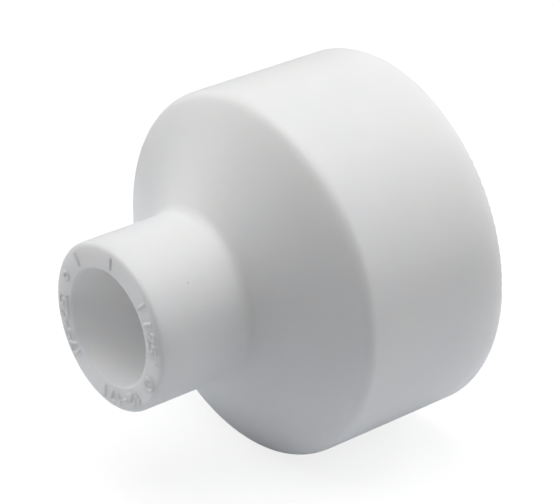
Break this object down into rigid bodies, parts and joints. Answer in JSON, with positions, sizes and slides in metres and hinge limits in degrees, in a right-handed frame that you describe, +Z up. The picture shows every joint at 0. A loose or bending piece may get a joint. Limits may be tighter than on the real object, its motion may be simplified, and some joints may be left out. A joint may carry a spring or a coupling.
{
  "type": "concentric pipe reducer",
  "caption": "White plastic socket-fusion pipe reducer: a 75 mm spigot end, a cone and a 25 mm pipe socket on one axis, with small raised marks on the socket rim.",
  "frame": {"origin": "centre of the spigot's end face, on the flow axis", "axes": "the flow axis lies along X: the spigot's end face looks along +X and the socket opens towards -X; +Z is up with the fitting lying on its side"},
  "size_m": [0.0675, 0.075, 0.075],
  "materials": {
    "moulding": "smooth white polypropylene with a soft satin gloss",
    "raised_marks": "the same white polypropylene, raised in the mould"
  },
  "bodies": {
    "root": {"reducer_body": "moulding", "index_ticks": "raised_marks", "size_mark": "raised_marks", "pressure_mark": "raised_marks", "batch_mark": "raised_marks", "cavity_mark": "raised_marks"}
  },
  "joints": []
}
